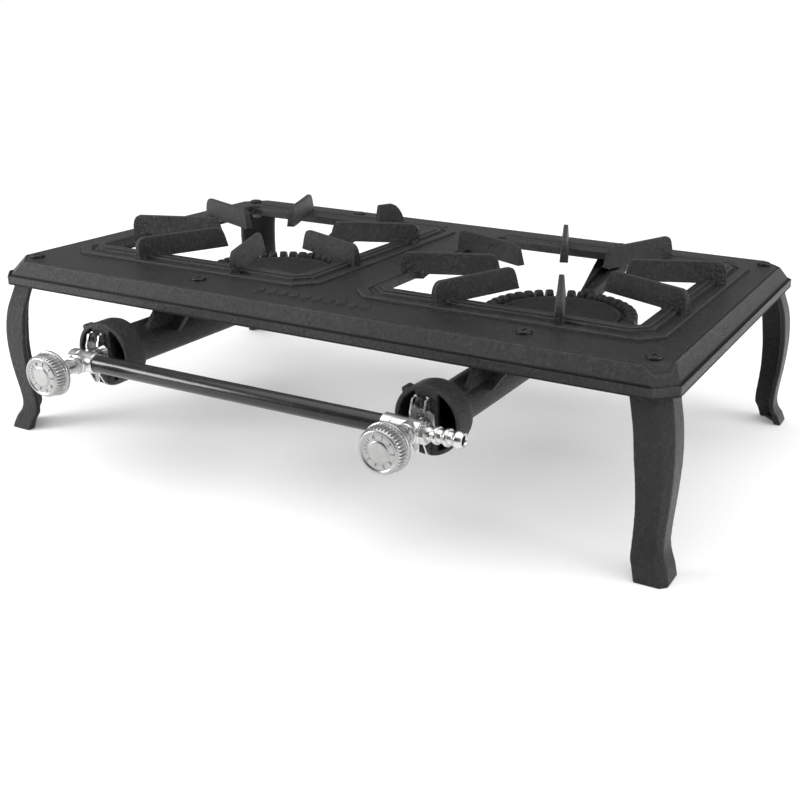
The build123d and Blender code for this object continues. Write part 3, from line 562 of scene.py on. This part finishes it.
# ---------------------------------------------------------------- screws and nuts
for n, mt, sl in (("leg_screws", M_SCREW, "black_screws"), ("burner_front_screws", M_SCREW, "black_screws"),
                  ("burner_rear_screws", M_SCREW, "black_screws"), ("burner_cap_screws", M_SCREW, "black_screws"),
                  ("bracket_screws", M_SCREW, "black_screws"), ("leg_nuts", M_STEEL, "plain_steel"),
                  ("burner_front_nuts", M_STEEL, "plain_steel"), ("burner_rear_nuts", M_STEEL, "plain_steel")):
    softened(n + "_finished", n, mt, "stove", sl, width=0.22)

# ---------------------------------------------------------------- gas side
prof = rounded([(GL + 7.7, 5.5), (GL + 7.7, 7.25), (GR - 15.2, 7.25), (GR - 15.2, 5.5)], 0.4)
ob = link(bpy.data.objects.new("gas_pipe", lathe_mesh("gas_pipe", prof, (0, YP, AX), (1, 0, 0), (0, 0, 1), seg=96)))
finish_piece(ob, M_PIPE, "stove", "black_gloss_pipe", "manifold_pipe")

for side in ("left", "right"):
    softened("valve_body_%s_finished" % side, "valve_body_" + side, M_BRIGHT, "stove", "bright_plating", width=0.35, segments=3)
    softened("valve_bonnet_%s_finished" % side, "valve_bonnet_" + side, M_BRIGHT, "stove", "bright_plating", width=0.3, segments=3)
    softened("valve_bracket_%s_finished" % side, "valve_bracket_" + side, M_BRIGHT, "stove", "bright_plating", width=0.4, segments=3)
    softened("valve_stem_%s_finished" % side, "valve_stem_" + side, M_BRASS, "knob_%s_body" % side, "brass", width=0.15)
    softened("stem_seal_%s_finished" % side, "stem_seal_" + side, M_SEAL, "stove", "seal_rubber", width=0.05)
softened("hose_tail_finished", "hose_tail", M_BRIGHT, "stove", "bright_plating", width=0.35, segments=3)
softened("gas_jets_finished", "gas_jets", M_BRASS, "stove", "brass", width=0.15)
softened("thrust_washers_finished", "thrust_washers", M_BRASS, "stove", "brass", width=0.08)

# ---------------------------------------------------------------- knobs: fluted skirt, back flange, figured face
RIBS = 40
KNOB = [(0.35, 0.0), (0.3, 4.0), (0.28, 6.6), (0.35, 7.4), (0.8, 8.0), (0.95, 8.6), (0.95, 10.5), (0.95, 12.4), (0.85, 13.1),
        (0.4, 13.6), (0.15, 14.2), (0.25, 14.9), (0.7, 15.5), (1.3, 15.95), (1.9, 16.3), (2.3, 16.55), (3.2, 16.75), (5.0, 16.85),
        (7.0, 16.95), (8.6, 17.0), (9.2, 17.05), (9.6, 17.1), (10.0, 17.3), (10.2, 17.8), (10.5, 18.15), (11.0, 18.28), (12.0, 18.28),
        (12.6, 18.1), (12.9, 17.6), (12.95, 16.5), (12.9, 14.6), (12.4, 14.4), (8.0, 14.1), (3.6, 13.5), (3.2, 12.5), (3.2, 7.0),
        (3.6, 6.2), (8.0, 6.0), (19.8, 6.0), (20.6, 5.85), (20.95, 5.4), (20.95, 3.3), (20.6, 3.06), (2.8, 3.06), (2.7, 0.0)]


def knob_warp(k, t, a, rad):
    if 14 <= k <= 21:
        ph = (t * RIBS / (2 * math.pi)) % 1.0
        e = abs(ph - 0.5) * 2.0
        g = min(max((e - 0.42) / 0.34, 0.0), 1.0)
        g = g * g * (3 - 2 * g)
        amp = {14: 0.35, 15: 0.75, 20: 0.75, 21: 0.3}.get(k, 0.95)
        rad = rad - amp * g + 0.1 * (1 - g)
    return a, rad


def figure(text, size, x, ang, rad, yf):
    """A raised figure on the knob's face, reading outwards."""
    cu = bpy.data.curves.new("figure", "FONT")
    cu.body = text
    cu.size = size * MM
    cu.align_x = "CENTER"
    cu.align_y = "CENTER"
    cu.extrude = 0.22 * MM
    cu.bevel_depth = 0.07 * MM
    cu.bevel_resolution = 1
    tmp = link(bpy.data.objects.new("figure", cu))
    dg = bpy.context.evaluated_depsgraph_get()
    me = bpy.data.meshes.new_from_object(tmp.evaluated_get(dg))
    bpy.data.objects.remove(tmp)
    rot = Matrix.Rotation(math.radians(90), 4, "X")          # text plane to face -Y
    spin = Matrix.Rotation(-ang, 4, "Z")
    me.transform(Matrix.Translation((rad * math.sin(ang) * MM, rad * math.cos(ang) * MM, 0)) @ spin)
    me.transform(Matrix.Translation(Vector((x, yf, AX)) * MM) @ rot)
    return me


def bar(w, h, dpt, ang, rad, x, yf):
    """A small raised bar with broken edges on the knob's face."""
    bm = bmesh.new()
    bmesh.ops.create_cube(bm, size=1.0)
    bmesh.ops.scale(bm, vec=(w * MM, h * MM, dpt * MM), verts=bm.verts)
    bmesh.ops.bevel(bm, geom=bm.edges[:], offset=0.12 * MM, segments=2, affect="EDGES")
    me = bpy.data.meshes.new("bar")
    bm.to_mesh(me)
    bm.free()
    rot = Matrix.Rotation(math.radians(90), 4, "X")
    spin = Matrix.Rotation(-ang, 4, "Z")
    me.transform(Matrix.Translation((rad * math.sin(ang) * MM, rad * math.cos(ang) * MM, 0)) @ spin)
    me.transform(Matrix.Translation(Vector((x, yf, AX)) * MM) @ rot)
    return me


for side, x in (("left", GL), ("right", GR)):
    parts = [lathe_mesh("knob", KNOB, (x, YK, AX), (0, 1, 0), (0, 0, 1), seg=RIBS * 12, warp=knob_warp)]
    for k, tx in enumerate(("0", "1", "2", "3", "4", "5", "6", "7")):
        a = math.radians(-20 + k * 36.0 - 0)
        parts.append(figure(tx, 3.9, x, a, 10.6, YK + 0.72))
    for k in range(5):
        parts.append(bar(0.55, 1.9, 0.5, math.radians(258 + k * 14.0), 10.6, x, YK + 0.75))
    for q in parts[1:]:
        q.polygons.foreach_set("material_index", [1] * len(q.polygons))
    me = join("knob_" + side, parts)
    ob = link(bpy.data.objects.new("knob_%s_finished" % side, me))
    finish_piece(ob, M_SATIN, "knob_%s_body" % side, "satin_plating", "knob_" + side)
    me.materials.append(M_FIGURE_SHADE)

# ================================================================ floor and light
k = Mat("studio_floor")
spread = k.noise(1.1, 3.0, 0.5)
k.set(Base_Color=k.ramp(spread, [(0.3, 0.86), (0.7, 0.88)]), Roughness=0.75, Normal=k.bump(k.noise(240.0, 3.0, 0.5), 0.03, 0.0002))
k.b.inputs["Specular IOR Level"].default_value = 0.2
k.b.inputs["Emission Color"].default_value = (1.0, 1.0, 1.0, 1.0)
k.b.inputs["Emission Strength"].default_value = 0.13
bm = bmesh.new()
N = 24
vs = [[bm.verts.new((-60 + 120 * i / N, -60 + 120 * j / N, 0.0)) for j in range(N + 1)] for i in range(N + 1)]
for i in range(N):
    for j in range(N):
        bm.faces.new((vs[i][j], vs[i + 1][j], vs[i + 1][j + 1], vs[i][j + 1]))
me = bpy.data.meshes.new("floor")
bm.to_mesh(me)
bm.free()
me.materials.append(k.m)
link(bpy.data.objects.new("floor", me))

world = bpy.data.worlds.new("studio")
scene.world = world
world.use_nodes = True
wt = world.node_tree
bg = wt.nodes["Background"]
tc = wt.nodes.new("ShaderNodeTexCoord")
sp = wt.nodes.new("ShaderNodeSeparateXYZ")
wt.links.new(tc.outputs["Generated"], sp.inputs[0])
rp = wt.nodes.new("ShaderNodeValToRGB")
rp.color_ramp.elements[0].position = 0.0
rp.color_ramp.elements[0].color = (0.80, 0.80, 0.81, 1)
rp.color_ramp.elements[1].position = 1.0
rp.color_ramp.elements[1].color = (1.0, 1.0, 1.0, 1)
wt.links.new(sp.outputs["Z"], rp.inputs["Fac"])
wt.links.new(rp.outputs["Color"], bg.inputs["Color"])


def world_math(op, a, b, clamp=False):
    n = wt.nodes.new("ShaderNodeMath")
    n.operation = op
    n.use_clamp = clamp
    for i, v in enumerate((a, b)):
        if isinstance(v, (int, float)):
            n.inputs[i].default_value = v
        else:
            wt.links.new(v, n.inputs[i])
    return n.outputs[0]


# the room is brighter on the right and darker in front
right = world_math("MULTIPLY", sp.outputs["X"], 1.0, True)
front = world_math("MULTIPLY", sp.outputs["Y"], -1.0, True)
back = world_math("MULTIPLY", sp.outputs["Y"], 1.0, True)
lit = world_math("ADD", 0.31, world_math("MULTIPLY", right, 0.30))
lit = world_math("ADD", lit, world_math("MULTIPLY", back, 0.09))
lit = world_math("SUBTRACT", lit, world_math("MULTIPLY", front, 0.26))
wt.links.new(lit, bg.inputs["Strength"])


def sun(name, direction, spread, strength):
    li = bpy.data.lights.new(name, "SUN")
    li.energy, li.angle = strength, math.radians(spread)
    ob = link(bpy.data.objects.new(name, li))
    ob.rotation_euler = Vector(direction).to_track_quat("-Z", "Y").to_euler()
    return ob


def area(name, loc, target, size, size_y, power):
    li = bpy.data.lights.new(name, "AREA")
    li.shape = "RECTANGLE"
    li.size, li.size_y, li.energy = size, size_y, power
    ob = link(bpy.data.objects.new(name, li))
    ob.location = loc
    ob.rotation_euler = (Vector(target) - Vector(loc)).to_track_quat("-Z", "Y").to_euler()
    return ob


sun("overhead", (0.08, 0.12, -1.0), 75.0, 2.3)
area("left_side", (-1.05, -0.85, 0.50), (-0.24, -0.1, 0.13), 0.7, 0.4, 13.0)
area("right_side", (1.9, 0.15, 0.62), (0.25, 0, 0.1), 1.2, 0.9, 18.0)

scene.view_settings.view_transform = "Standard"
scene.view_settings.look = "None"
scene.view_settings.exposure = 0.0
